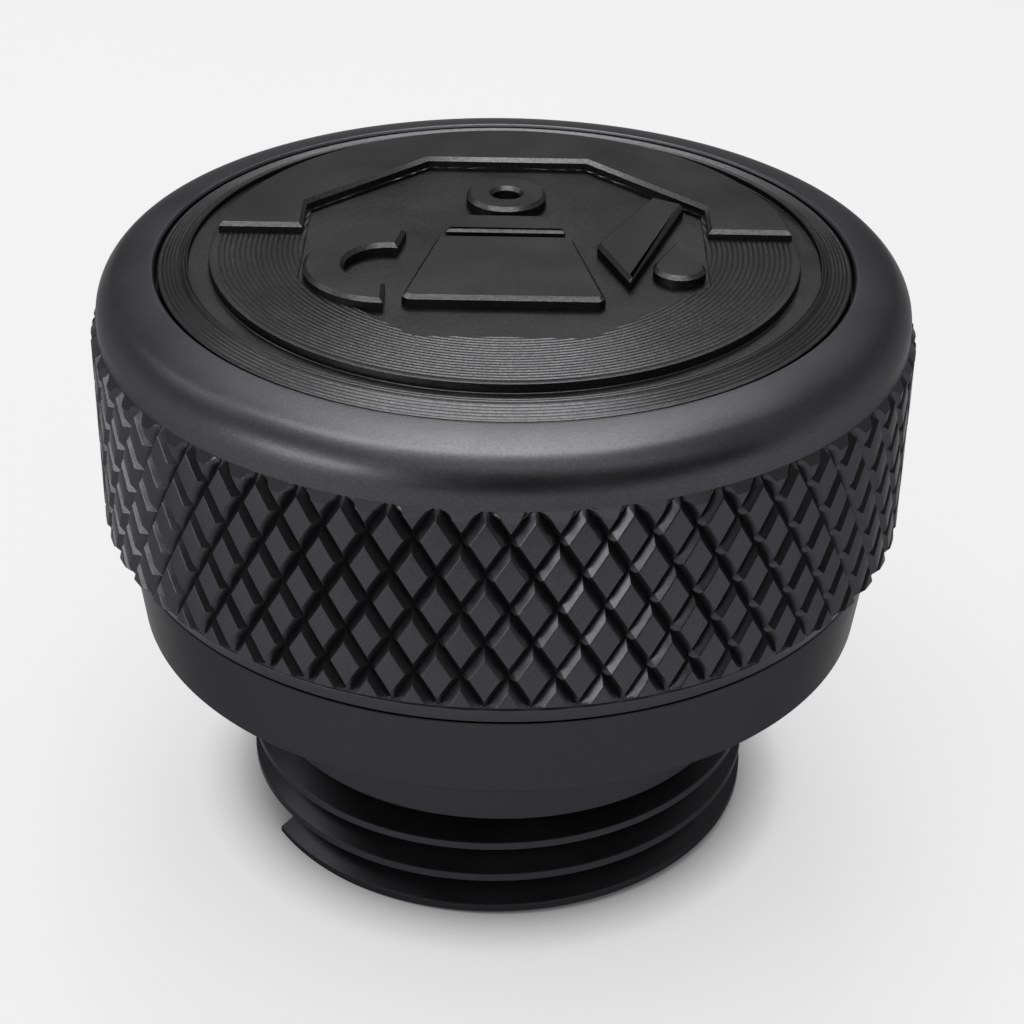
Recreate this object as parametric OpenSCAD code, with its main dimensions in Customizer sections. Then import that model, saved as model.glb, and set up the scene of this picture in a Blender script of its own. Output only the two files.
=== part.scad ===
// Screw-in oil filler cap, machined from aluminium and anodised black.
// A turned body carries the thread, the neck and the skirt. A knurled grip ring drops over its hub
// and is clamped by four countersunk screws, which the pressed-in top disc covers. An O-ring seals
// under the skirt. The origin is the middle of the thread's end, +Z runs up the axis, and the front
// of the relief faces -Y.

/* [Body] */
// Height from the thread's end to the underside of the skirt
spigot_h = 18.8; // [14:0.1:26]
// How far the plain neck lies inside the thread's crest
neck_step = 0.8; // [0.3:0.1:2]
// Height of the skirt's wall
skirt_h = 6.7; // [4:0.1:10]
// How far the top of the skirt lies inside the knurl's surface
skirt_step = 1.8; // [1.2:0.1:3]
// How much further in the skirt's lower edge lies
skirt_taper = 0.8; // [0:0.1:2]
// Broken edge round the bottom of the skirt
skirt_edge = 0.15; // [0.1:0.05:1]
// Gap between the pilot that centres the grip ring and the top disc
pilot_gap = 0.1; // [0.1:0.1:2]
// Wall between the hollow and the root of the thread
hollow_wall = 2.66; // [2:0.02:8]
// Depth of the hollow from the thread's end
hollow_depth = 25; // [10:0.5:28]

/* [Thread] */
// Outside diameter of the thread
thread_d = 42; // [36:0.1:46]
// Advance of the thread in one turn
thread_pitch = 3.15; // [2.5:0.05:3.6]
// Depth of the thread from crest to root
thread_depth = 1.84; // [1.2:0.02:2.2]
// Width of the flat along the crest
thread_crest = 0.67; // [0.3:0.01:1.2]
// Width of the flat at the root between two crests
thread_root = 0.4; // [0.1:0.05:0.8]
// Height of the threaded length, up to the neck
thread_zone_h = 9; // [8:0.05:12]
// Height of the lowest crest where it passes the front
thread_low = 0.62; // [0.3:0.01:1.5]
// Direction in which the thread begins, seen from above
thread_start = -149; // [-170:1:-120]
// Turns from the thread's beginning to its run-out
thread_turns = 2.55; // [1.5:0.05:2.6]

/* [Grip ring] */
// Height of the grip ring
ring_h = 22.6; // [20:0.1:26]
// How far the smooth wall above the knurl lies inside the knurl's surface
wall_step = 0.5; // [0.3:0.1:1]
// Height of the smooth wall between the knurl and the shoulder
wall_h = 1; // [0.4:0.1:3]
// Radius of the rounded shoulder
shoulder_r = 3.4; // [2:0.1:4]
// Thickness of the wall outside the bore, above and below the web
ring_wall_t = 4.6; // [4:0.1:7]
// Thickness of the web that the screws clamp
web_t = 4; // [3.9:0.1:5]
// Width of the web from the bore to the hole for the pilot
web_w = 11.9; // [10:0.1:14]
// Height of the smooth collar below the knurl
collar_h = 2.05; // [1.2:0.05:3]
// How far the collar lies inside the knurl's surface where they meet
collar_step = 0.7; // [0.6:0.05:1.2]
// How much further in the collar's lower edge lies
collar_taper = 1.05; // [0:0.05:1.5]
// Width of the fine turned line under the knurl
line_w = 0.25; // [0.1:0.05:0.4]
// Distance of that line below the knurl
line_drop = 0.33; // [0.2:0.01:0.6]

/* [Knurl] */
// Diameter over the flat tops of the knurl
knurl_d = 64; // [58:0.1:70]
// Grooves in each direction round the band
knurl_count = 60; // [48:2:72]
// Angle of the grooves from the axis
knurl_angle = 31.4; // [28:0.1:34]
// Depth of the grooves
knurl_depth = 0.6; // [0.5:0.05:0.8]
// Width of the grooves at the surface
knurl_groove_w = 1.04; // [0.7:0.02:1.3]
// Direction of one crossing in the lowest row, seen from above
knurl_phase = 4.5; // [0:0.5:6]
// Height of the bevel at the top of the knurl
knurl_bevel_top = 0.66; // [0.4:0.02:1]
// Height of the bevel at the bottom of the knurl
knurl_bevel_low = 0.45; // [0.3:0.05:0.8]

/* [Top disc] */
// Thickness of the top disc under its turned face
disc_t = 4.6; // [4:0.1:5]
// How far the turned face stands above the grip ring
face_proud = 0.6; // [0:0.1:1.5]
// Width of the grooved rim, from the seam to the channel
rim_w = 2.55; // [1.5:0.05:4]
// Width of the channel between the rim and the raised turned face
channel_w = 1.65; // [1:0.05:3]
// Depth of the channel below the face
channel_depth = 0.75; // [0.4:0.05:1.2]
// How far the rim's inner edge lies below the face
rim_inner_drop = 0.25; // [0.1:0.05:0.4]
// How far the rim's outer edge lies below the face
rim_outer_drop = 0.8; // [0.5:0.05:1]

/* [Relief] */
// Height of the raised plates above the turned face
plate_h = 0.75; // [0.5:0.05:1]
// Bevel round each raised plate
plate_bevel = 0.3; // [0.15:0.05:0.4]
// Depth of the smooth octagonal floor below the turned face
floor_depth = 0.25; // [0.1:0.05:0.4]
// Distance from the sides of the octagonal floor to the face's edge
floor_margin = 7.2; // [6:0.1:9]
// Room that the raised oil can leaves before it and behind it on the floor
can_margin = 4.25; // [3.5:0.05:7]
// Distance that the raised crescent keeps from the face's edge
crescent_inset = 0.3; // [0.2:0.05:0.6]
// How far the crescent's two ends stay behind the middle of the face
crescent_end = 2; // [0:0.5:6]

/* [Screws] */
// Number of clamp screws
screw_count = 4; // [3:1:6]
// Diameter of the screw shank
screw_d = 4; // [3:0.5:4]
// Length of a screw with its head
screw_len = 10; // [8:0.5:10]
// Diameter of the countersunk head
screw_head_d = 7.6; // [6:0.1:8]
// Size of the hexagon key that turns the screw
screw_key = 2.5; // [2:0.5:2.5]
// How far the heads lie below the face that the top disc rests on
screw_sink = 0.15; // [0.1:0.05:0.3]
// Clearance round a shank in the web, on the radius
screw_gap = 0.2; // [0.1:0.05:0.4]

/* [Seal] */
// Thickness of the O-ring
seal_section = 3; // [2.4:0.1:3.2]
// How far the O-ring stands out of its groove
seal_proud = 0.7; // [0.4:0.05:1]
// Room beside the O-ring in its groove
seal_room = 0.4; // [0.2:0.05:0.8]

/* [Fits] */
// Gap between the skirt and the grip ring
skirt_gap = 0.2; // [0.1:0.05:0.3]
// Gap in the seam round the top disc
seam_gap = 0.25; // [0.1:0.05:0.4]
// Depth of that seam
seam_depth = 1.2; // [0.8:0.1:2]
// Clearance of a turned fit on the radius
fit_gap = 0.05; // [0.03:0.01:0.1]
// Clearance of the pressed top disc on the radius
press_gap = 0.02; // [0.01:0.01:0.04]

/* [Hidden] */
$fn = 96;
cut = 1;

// Heights of the faces that pieces seat on
skirt_top_z = spigot_h + skirt_h;
ring_z = skirt_top_z + skirt_gap;
ring_top_z = ring_z + ring_h;
face_z = ring_top_z + face_proud;
disc_z = face_z - disc_t;
hub_top_z = disc_z - web_t;

// Radii that neighbouring pieces share
knurl_r = knurl_d / 2;
wall_r = knurl_r - wall_step;
bore_r = wall_r - ring_wall_t;
collar_r = knurl_r - collar_step;
pilot_r = bore_r - web_w;
channel_r = bore_r - rim_w;
face_r = channel_r - channel_w;
neck_r = thread_d / 2 - neck_step;
root_r = thread_d / 2 - thread_depth;

anodised = [0.15, 0.15, 0.16];
anodised_satin = [0.22, 0.22, 0.23];
nitrile = [0.05, 0.05, 0.05];
zinc_black = [0.12, 0.12, 0.12];

function polar(r, a, z) = [r * cos(a), r * sin(a), z];

// Two triangles for a four-sided patch whose corners may be out of plane
function patch(a, b, c, d) = [[a, b, c], [a, c, d]];

// Thread

ridge_bury = 0.5;
flank_w = (thread_pitch - thread_crest - thread_root) / 2;
ridge_end_ramp = 70;
ridge_end_rise = 0.02;
ridge_step = 6;

function ridge_z(a) = thread_low + thread_pitch * (a + 90) / 360;
function ridge_rise(a, last) =
    max(ridge_end_rise, min(1, (last - a) / ridge_end_ramp));

// Section of the ridge at angle a: inner low, crest low, crest high, inner high
function ridge_section(a, rise) =
    let (r_in = root_r - ridge_bury,
         r_out = r_in + (ridge_bury + thread_depth) * rise,
         wide = thread_crest / 2 + flank_w * (1 + ridge_bury / thread_depth),
         slim = wide - flank_w * (1 + ridge_bury / thread_depth) * rise,
         z = ridge_z(a))
    [polar(r_in, a, z - wide), polar(r_out, a, z - slim),
     polar(r_out, a, z + slim), polar(r_in, a, z + wide)];

module thread_ridge() {
    steps = ceil(thread_turns * 360 / ridge_step);
    turn = thread_turns * 360 / steps;
    last = thread_start + thread_turns * 360;
    points = [for (i = [0 : steps]) let (a = thread_start + i * turn)
              each ridge_section(a, ridge_rise(a, last))];
    sides = [for (i = [0 : steps - 1], k = [0 : 3])
             each patch(4 * i + k, 4 * i + (k + 1) % 4,
                        4 * (i + 1) + (k + 1) % 4, 4 * (i + 1) + k)];
    ends = [[3, 2, 1, 0], [for (k = [0 : 3]) 4 * steps + k]];
    polyhedron(points = points, faces = concat(sides, ends), convexity = 8);
}

// The turned body: hollow threaded spigot, neck, skirt with its seal groove, and hub

hub_r = bore_r - fit_gap;
pilot_h = web_t - pilot_gap;
seal_groove_depth = seal_section - seal_proud;
seal_groove_r = neck_r + seal_section + seal_room;
tapped_r = screw_d / 2 + fit_gap;
tap_spare = 1;
tapped_depth = screw_len - web_t + tap_spare;

module body() {
    color(anodised) difference() {
        union() {
            cylinder(r = root_r, h = thread_zone_h + cut);
            intersection() {
                thread_ridge();
                cylinder(d = thread_d + cut, h = thread_zone_h);
            }
            translate([0, 0, thread_zone_h])
                cylinder(r = neck_r, h = spigot_h + seal_groove_depth - thread_zone_h + cut);
            skirt();
            translate([0, 0, skirt_top_z - cut]) cylinder(r = hub_r, h = hub_top_z - skirt_top_z + cut);
            translate([0, 0, hub_top_z - cut]) cylinder(r = pilot_r, h = pilot_h + cut);
        }
        translate([0, 0, -cut]) cylinder(r = root_r - hollow_wall, h = hollow_depth + cut);
        at_screws() translate([0, 0, hub_top_z - tapped_depth])
            cylinder(r = tapped_r, h = tapped_depth + cut);
    }
}

module skirt() {
    top_r = knurl_r - skirt_step;
    low_r = top_r - skirt_taper;
    difference() {
        rotate_extrude() polygon([
            [0, spigot_h],
            [low_r - skirt_edge, spigot_h],
            [low_r, spigot_h + skirt_edge],
            [top_r, skirt_top_z],
            [0, skirt_top_z]]);
        translate([0, 0, spigot_h - cut]) difference() {
            cylinder(r = seal_groove_r, h = seal_groove_depth + cut);
            translate([0, 0, -cut]) cylinder(r = neck_r, h = seal_groove_depth + 3 * cut);
        }
    }
}

// Places for the clamp screws, in the middle of the web and on diagonals of the cap
screw_turn = 45;
screw_circle_r = bore_r - web_w / 2;

module at_screws() {
    for (i = [0 : screw_count - 1]) at_screw(i) children();
}

module at_screw(i) {
    rotate(screw_turn + 360 * i / screw_count) translate([screw_circle_r, 0, 0]) children();
}

// Knurl: flat-topped diamonds between V-shaped grooves that cross at nodes

knurl_root_r = knurl_r - knurl_depth;
knurl_step = 360 / knurl_count;
half_w = PI * knurl_d / knurl_count / 2;
half_h = half_w / tan(knurl_angle);
knurl_h = ring_h - collar_h - wall_h - shoulder_r;
knurl_rows = 2 * ceil(knurl_h / half_h / 2) + 2;
knurl_z = ring_z + collar_h;
knurl_top_z = knurl_z + knurl_h;
band_wall = 1.5;
band_r = knurl_root_r - band_wall;
band_z = knurl_z - half_h;
// Share of the diamond that its flat top takes, from the groove's width
flat_share = 1 - knurl_groove_w / 2 / (half_w * cos(knurl_angle));

function cell(k, j, m) = 5 * (k * knurl_count + j % knurl_count) + m;
function ring_cell(top, j) =
    5 * (knurl_rows + 1) * knurl_count + top * knurl_count + j % knurl_count;
function node_az(k, j) = knurl_phase + (j + ((k + 1) % 2) / 2) * knurl_step;

// Node of the grooves, then the left, right, top and bottom corners of the diamond beside it
function cell_points(k, j) =
    let (a = node_az(k, j) + knurl_step / 2,
         da = flat_share * knurl_step / 2,
         z = band_z + k * half_h,
         dz = flat_share * half_h)
    [polar(knurl_root_r, node_az(k, j), z), polar(knurl_r, a - da, z), polar(knurl_r, a + da, z),
     polar(knurl_r, a, z + dz), polar(knurl_r, a, z - dz)];

function upper_flanks(k, j) =
    let (up = cell(k + 1, j + (k + 1) % 2, 0))
    concat(patch(cell(k, j, 0), up, cell(k, j, 3), cell(k, j, 1)),
           patch(up, cell(k, j + 1, 0), cell(k, j, 2), cell(k, j, 3)));
function lower_flanks(k, j) =
    let (down = cell(k - 1, j + (k + 1) % 2, 0))
    concat(patch(cell(k, j + 1, 0), down, cell(k, j, 4), cell(k, j, 2)),
           patch(down, cell(k, j, 0), cell(k, j, 1), cell(k, j, 4)));
function end_outline(k, top, j) =
    [ring_cell(top, j), ring_cell(top, j + 1), cell(k, j + 1, 0),
     cell(k, j, 2), cell(k, j, 1), cell(k, j, 0)];
function reversed(list) = [for (i = [len(list) - 1 : -1 : 0]) list[i]];

module knurl_band() {
    last = knurl_rows;
    around = [0 : knurl_count - 1];
    points = concat(
        [for (k = [0 : last], j = around) each cell_points(k, j)],
        [for (top = [0, 1], j = around)
            polar(band_r, node_az(0, j), band_z + top * last * half_h)]);
    tops = [for (k = [1 : last - 1], j = around)
            each patch(cell(k, j, 3), cell(k, j, 2), cell(k, j, 4), cell(k, j, 1))];
    end_tops = [for (j = around) each [[cell(0, j, 3), cell(0, j, 2), cell(0, j, 1)],
                                       [cell(last, j, 1), cell(last, j, 2), cell(last, j, 4)]]];
    flanks = concat([for (k = [0 : last - 1], j = around) each upper_flanks(k, j)],
                    [for (k = [1 : last], j = around) each lower_flanks(k, j)]);
    ends = [for (j = around) each [end_outline(last, 1, j), reversed(end_outline(0, 0, j))]];
    inside = [for (j = around) each patch(ring_cell(0, j + 1), ring_cell(1, j + 1),
                                          ring_cell(1, j), ring_cell(0, j))];
    polyhedron(points = points, faces = concat(tops, end_tops, flanks, ends, inside),
               convexity = 10);
}

// The space that the band may fill: a bevel at each end, which runs on past the flat tops
module knurl_blank() {
    beyond = 2;
    rotate_extrude() polygon([
        [0, knurl_z],
        [collar_r, knurl_z],
        [collar_r + beyond * collar_step, knurl_z + beyond * knurl_bevel_low],
        [wall_r + beyond * wall_step, knurl_top_z - beyond * knurl_bevel_top],
        [wall_r, knurl_top_z],
        [0, knurl_top_z]]);
}

// The grip ring: rounded shoulder, knurled wall, plain collar, and a web for the screws

shoulder_z = ring_top_z - shoulder_r;

module ring_section() {
    difference() {
        union() {
            polygon([[0, ring_z], [collar_r - collar_taper, ring_z], [collar_r, knurl_z],
                     [0, knurl_z]]);
            translate([0, knurl_z]) square([knurl_root_r - band_wall / 2, knurl_h]);
            translate([0, knurl_top_z]) square([wall_r, wall_h]);
            translate([0, shoulder_z]) square([wall_r - shoulder_r, shoulder_r]);
            translate([wall_r - shoulder_r, shoulder_z]) circle(r = shoulder_r);
        }
        translate([collar_r, knurl_z - line_drop]) rotate(45)
            square(line_w, center = true);
    }
}

module grip_ring() {
    color(anodised_satin) difference() {
        union() {
            rotate_extrude() ring_section();
            intersection() {
                knurl_band();
                knurl_blank();
            }
        }
        translate([0, 0, ring_z - cut]) cylinder(r = bore_r, h = hub_top_z - ring_z + cut);
        translate([0, 0, disc_z]) cylinder(r = bore_r, h = ring_top_z - disc_z + cut);
        translate([0, 0, hub_top_z - cut]) cylinder(r = pilot_r + fit_gap, h = web_t + 2 * cut);
        at_screws() screw_seat();
    }
}

// Countersunk screws and the holes that they pass through

screw_head_h = (screw_head_d - screw_d) / 2;
screw_top_z = disc_z - screw_sink;

module screw_seat() {
    translate([0, 0, hub_top_z - cut]) cylinder(r = screw_d / 2 + screw_gap, h = web_t + 2 * cut);
    translate([0, 0, screw_top_z - screw_head_h])
        cylinder(r1 = screw_d / 2 + fit_gap, r2 = screw_head_d / 2 + fit_gap, h = screw_head_h);
    translate([0, 0, screw_top_z]) cylinder(r = screw_head_d / 2 + fit_gap, h = screw_sink + cut);
}

module clamp_screw(i) {
    color(zinc_black) at_screw(i) difference() {
        union() {
            translate([0, 0, screw_top_z - screw_len]) cylinder(d = screw_d, h = screw_len);
            translate([0, 0, screw_top_z - screw_head_h])
                cylinder(d1 = screw_d, d2 = screw_head_d, h = screw_head_h);
        }
        translate([0, 0, screw_top_z - screw_head_h])
            cylinder(d = screw_key / cos(180 / 6), h = screw_head_h + cut, $fn = 6);
    }
}

// The top disc: stepped rim, channel and turned face, with a raised oil can in a half frame

module disc_blank() {
    rim_z = face_z - rim_outer_drop;
    land_r = bore_r - press_gap;
    reveal_r = bore_r - seam_gap;
    rotate_extrude() polygon([
        [0, disc_z],
        [land_r, disc_z],
        [land_r, rim_z - seam_depth],
        [reveal_r, rim_z - seam_depth],
        [reveal_r, rim_z],
        [channel_r, face_z - rim_inner_drop],
        [channel_r, face_z - channel_depth],
        [face_r, face_z - channel_depth],
        [face_r, face_z],
        [0, face_z]]);
}

// An octagon with a flat side to the front, w across the flats
corner_turn = 180 / 8;
module octagon(w) {
    rotate(corner_turn) circle(d = w / cos(corner_turn), $fn = 8);
}

// Every raised plate starts a little below the octagonal floor and ends at the same height
plate_foot = 0.2;
plate_rise = plate_foot + floor_depth + plate_h;
floor_w = 2 * (face_r - floor_margin);

// The oil can is drawn 22.5 high, from its foot to its knob, and scaled to its room
drawn_h = 22.5;
u = (floor_w - 2 * can_margin) / drawn_h;
can_outline = [[-7, -10.5], [7, -10.5], [7.5, -10], [5.3, 0], [4.7, 0.5],
               [-4.7, 0.5], [-5.3, 0], [-7.5, -10]];
lid_outline = [[-4.8, 1.6], [4.8, 1.6], [3.1, 4.5], [-3.1, 4.5]];
spout_outline = [[9.4, -7.2], [7, -0.6], [11.6, 8.6], [14.2, 7.2]];
drop_place = [13.2, -4.6];
drop_r = 2;
drop_tip = [[-1.8, 0.9], [0, 4.8], [1.8, 0.9]];
knob_place = [0, 8.8, 0];
knob_r = 3.2;
knob_eye_r = 1.1;
handle_place = [-8.8, -4.8, 0];
handle_in_r = 3.3;
handle_out_r = 6.4;
handle_from = 80;
handle_sweep = 190;

// A convex outline raised to the height of the plates, with a bevelled edge
module bevelled() {
    hull() {
        linear_extrude(height = plate_rise - plate_bevel) children();
        linear_extrude(height = plate_rise) offset(delta = -plate_bevel) children();
    }
}

module oil_drop() {
    bevelled() translate(u * drop_place) {
        circle(r = u * drop_r, $fn = 24);
        polygon(u * drop_tip);
    }
}

module can_knob() {
    r = u * knob_r;
    eye_r = u * knob_eye_r;
    bevel_z = plate_rise - plate_bevel;
    translate(u * knob_place) difference() {
        union() {
            cylinder(r = r, h = bevel_z);
            translate([0, 0, bevel_z]) cylinder(r1 = r, r2 = r - plate_bevel, h = plate_bevel);
        }
        translate([0, 0, plate_foot]) cylinder(r = eye_r, h = plate_rise);
        translate([0, 0, bevel_z])
            cylinder(r1 = eye_r, r2 = eye_r + 2 * plate_bevel, h = 2 * plate_bevel);
    }
}

module can_handle() {
    in_r = u * handle_in_r;
    out_r = u * handle_out_r;
    bevel_z = plate_rise - plate_bevel;
    translate(u * handle_place) rotate(handle_from) rotate_extrude(angle = handle_sweep) polygon([
        [in_r, 0], [out_r, 0],
        [out_r, bevel_z], [out_r - plate_bevel, plate_rise],
        [in_r + plate_bevel, plate_rise], [in_r, bevel_z]]);
}

// A raised crescent behind the can, with the octagon's back sides as its inner edge
module crescent() {
    out_r = face_r - crescent_inset;
    bevel_w = floor_w / cos(corner_turn);
    bevel_z = plate_rise - plate_bevel;
    end_bevel = 2 * sqrt(2) * plate_bevel;
    difference() {
        union() {
            cylinder(r = out_r, h = bevel_z);
            translate([0, 0, bevel_z])
                cylinder(r1 = out_r, r2 = out_r - plate_bevel, h = plate_bevel);
        }
        translate([0, 0, -cut]) linear_extrude(height = plate_rise + 2 * cut) octagon(floor_w);
        translate([0, 0, bevel_z]) rotate(corner_turn)
            cylinder(d1 = bevel_w, d2 = bevel_w + 4 * plate_bevel, h = 2 * plate_bevel, $fn = 8);
        translate([-2 * face_r, crescent_end - 2 * face_r, -cut])
            cube([4 * face_r, 2 * face_r, plate_rise + 2 * cut]);
        translate([0, crescent_end - plate_bevel, plate_rise]) rotate([45, 0, 0])
            cube([4 * face_r, end_bevel, end_bevel], center = true);
    }
}

module relief() {
    translate([0, 0, face_z - floor_depth - plate_foot]) {
        for (outline = [can_outline, lid_outline, spout_outline]) bevelled() polygon(u * outline);
        oil_drop();
        can_knob();
        can_handle();
        crescent();
    }
}

module top_disc() {
    color(anodised) union() {
        difference() {
            disc_blank();
            translate([0, 0, face_z - floor_depth])
                linear_extrude(height = floor_depth + cut) octagon(floor_w);
        }
        relief();
    }
}

// The O-ring in its groove under the skirt
module seal_ring() {
    r = seal_section / 2;
    color(nitrile) rotate_extrude()
        translate([neck_r + press_gap + r, spigot_h - seal_proud + r]) circle(r = r);
}

body();
grip_ring();
top_disc();
seal_ring();
clamp_screw(0);  // clamp_screw_1
clamp_screw(1);  // clamp_screw_2
clamp_screw(2);  // clamp_screw_3
clamp_screw(3);  // clamp_screw_4
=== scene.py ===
"""Builds the detailed visual pieces of a screw-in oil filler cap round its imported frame.

Sizes are in metres and heights run up from the thread's end. The cap's axis is Z and its front
is -Y.
"""

import math

import bmesh
import bpy
from bpy.props import FloatProperty, FloatVectorProperty, IntProperty, PointerProperty
from mathutils import Matrix, Vector


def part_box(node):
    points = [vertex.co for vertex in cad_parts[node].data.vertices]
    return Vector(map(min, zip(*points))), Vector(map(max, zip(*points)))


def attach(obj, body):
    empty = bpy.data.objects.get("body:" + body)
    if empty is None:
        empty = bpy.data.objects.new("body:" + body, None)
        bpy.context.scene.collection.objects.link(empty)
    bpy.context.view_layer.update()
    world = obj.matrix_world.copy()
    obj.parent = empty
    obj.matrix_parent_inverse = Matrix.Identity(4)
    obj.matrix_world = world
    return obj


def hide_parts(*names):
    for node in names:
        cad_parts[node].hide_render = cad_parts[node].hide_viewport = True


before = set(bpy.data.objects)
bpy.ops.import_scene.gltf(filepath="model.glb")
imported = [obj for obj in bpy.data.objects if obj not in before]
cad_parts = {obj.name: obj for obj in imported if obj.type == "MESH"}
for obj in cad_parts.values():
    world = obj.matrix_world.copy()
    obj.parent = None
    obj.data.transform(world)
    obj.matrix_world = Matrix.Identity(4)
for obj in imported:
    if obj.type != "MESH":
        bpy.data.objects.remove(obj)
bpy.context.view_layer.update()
ring_low, ring_high = (corner[2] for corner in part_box("grip_ring"))
disc_low, disc_high = (corner[2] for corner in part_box("top_disc"))
body_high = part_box("body")[1][2]
seal_low, seal_high = (corner[2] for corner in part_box("seal_ring"))

bl_info = {
    "name": "Knurled oil filler cap",
    "version": (1, 0, 0),
    "blender": (4, 5, 0),
    "location": "View3D > Sidebar > Filler cap",
    "description": "Builds the grip ring, top disc and threaded body of an oil filler cap",
    "category": "Object",
}

MM = 0.001
ORIGIN = (0.0, 0.0, 0.0)
AXIS = (0.0, 0.0, 1.0)

# Steps round the axis, curve steps of a rounded corner, and the angle from which an edge is sharp
COLUMNS = 288
ROUND_STEPS = 3
SHARP = math.radians(32.0)

# The pilot and hub that carry the ring, the hollow inside the body, and the clamp screws
PILOT = 15.0 * MM
PILOT_BORE = 15.05 * MM
HUB = 26.85 * MM
HOLLOW = 16.5 * MM
HOLLOW_TOP = 25.0 * MM
SCREW_CIRCLE = 20.95 * MM
SCREW_HOLE = 2.2 * MM
SCREW_HEAD = 3.85 * MM
SCREW_HEAD_DEPTH = 1.8 * MM
TAPPED_HOLE = 2.05 * MM
TAPPED_DEPTH = 7 * MM

# The skirt and the groove of the O-ring
SEAL_GROOVE = 23.6 * MM
SEAL_GROOVE_DEPTH = 2.3 * MM
SEAL_THICK = 1.5 * MM
SEAL_GAP = 0.02 * MM
SKIRT_FOOT = 29.4 * MM
SKIRT_TOP = 30.2 * MM

# The thread's middle at the front, its run-out in degrees, and half widths of its section
THREAD_LOW = 0.62 * MM
RUN_OUT = 70.0
THREAD_BURIED = 0.5 * MM
THREAD_WIDE = 1.658 * MM
CREST_WIDE = 0.3 * MM
CREST_ROUND = 0.09 * MM
CREST_ROUND_WIDE = 0.386 * MM

# The collar under the knurl with its fine line, and the dome of the ring's top in degrees
COLLAR_FOOT = 30.25 * MM
COLLAR_TOP = 31.05 * MM
COLLAR_LINE = 30.90 * MM
LEDGE_MIDDLE = 31.21 * MM
LEDGE_FOOT = 31.29 * MM
KNURL_FOOT = 31.3 * MM
DOME_SLOPE = 6.0
DOME_END = 40.0
DOME_STEPS = 12

# The top disc, from its floor outward
FLOOR_DEPTH = 0.25 * MM
TURNED_FROM = 15.2 * MM
TURNED_MARGIN = 0.42 * MM
CHANNEL_DEPTH = 0.75 * MM
LIP_WALL = 24.35 * MM
RIM_DEPTH = 0.37 * MM
RIM_LANDS = 24.98 * MM
RIM_LANDS_END = 26.48 * MM
RIM_FALL = -0.55 / 2.15
RIM_EDGE = 26.65 * MM
DISC_WALL = 26.88 * MM

# How far the knurl's end bevels go out for each step up or down
LOW_SLOPE = 0.7 / 0.45
HIGH_SLOPE = 0.5 / 0.66

# The relief's plates in millimetres from the axis, as seen from above with the front down
CAN = [
    (-7, -10.5), (7, -10.5), (7.5, -10), (5.3, 0), (4.7, 0.5), (-4.7, 0.5), (-5.3, 0), (-7.5, -10),
]
LID = [(-4.8, 1.6), (4.8, 1.6), (3.1, 4.5), (-3.1, 4.5)]
SPOUT = [(9.4, -7.2), (14.2, 7.2), (11.6, 8.6), (7, -0.6)]
DROP_PLACE, DROP_RADIUS, DROP_TIP = (13.2, -4.6), 2.0, (13.2, 0.2)
HANDLE_PLACE, HANDLE_RADIUS, HANDLE_HOLE = (-8.8, -4.8), 6.4, 3.3
KNOB_PLACE, KNOB_RADIUS, KNOB_EYE = 8.8, 3.2, 1.1
CRESCENT_RADIUS, CRESCENT_END, CRESCENT_LEDGE = 22.4, 2, 0.3
CORNER = 0.35

# Lamps with their place, aim point, size and radiance, in metres
LAMPS = (
    ("overhead", (-0.08, -0.05, 0.76), (-0.08, -0.05, 0.0), (0.7, 0.5), 5.6),
    ("behind", (0.0, 0.46, 0.74), (0.0, 0.3, 0.0), (0.34, 0.52), 6.0),
    ("high left", (-0.6, 0.16, 0.55), (0.0, 0.0, 0.04), (0.3, 0.3), 1.8),
    ("low left", (-0.54, -0.52, 0.14), (0.0, 0.0, 0.04), (0.5, 0.11), 10.0),
    ("front", (0.1, -0.6, 0.45), (0.0, 0.0, 0.04), (1.0, 0.35), 1.2),
)
# Strength of the horizon, the ceiling and the even light on surfaces
HORIZON, CEILING, EVEN_LIGHT = 0.74, 0.35, 0.2
# The black card, the point that the camera looks at and the floor
CARD_SIZE = (0.66, 1.0, 0.14)
CARD_PLACE = (0.23, -0.17, 0.071)
AIM = (0.88 * MM, 0.0, 25.06 * MM)
FLOOR_RADIUS = 3.0
# Reach and strength of the painted contact shadow: ambient occlusion that darkens the floor's glow
# near the cap
PAINTED_SHADOW_REACH = 6 * MM
PAINTED_SHADOW_POWER = 1.6
# Radiance of the floor's own light
GLOW = (0.62, 0.62, 0.622, 1.0)
# Black oxide reflects little at a grazing angle, where bare metal would shine
EDGE = (0.5, 0.5, 0.5, 1.0)


# Settings that a user would change


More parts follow.
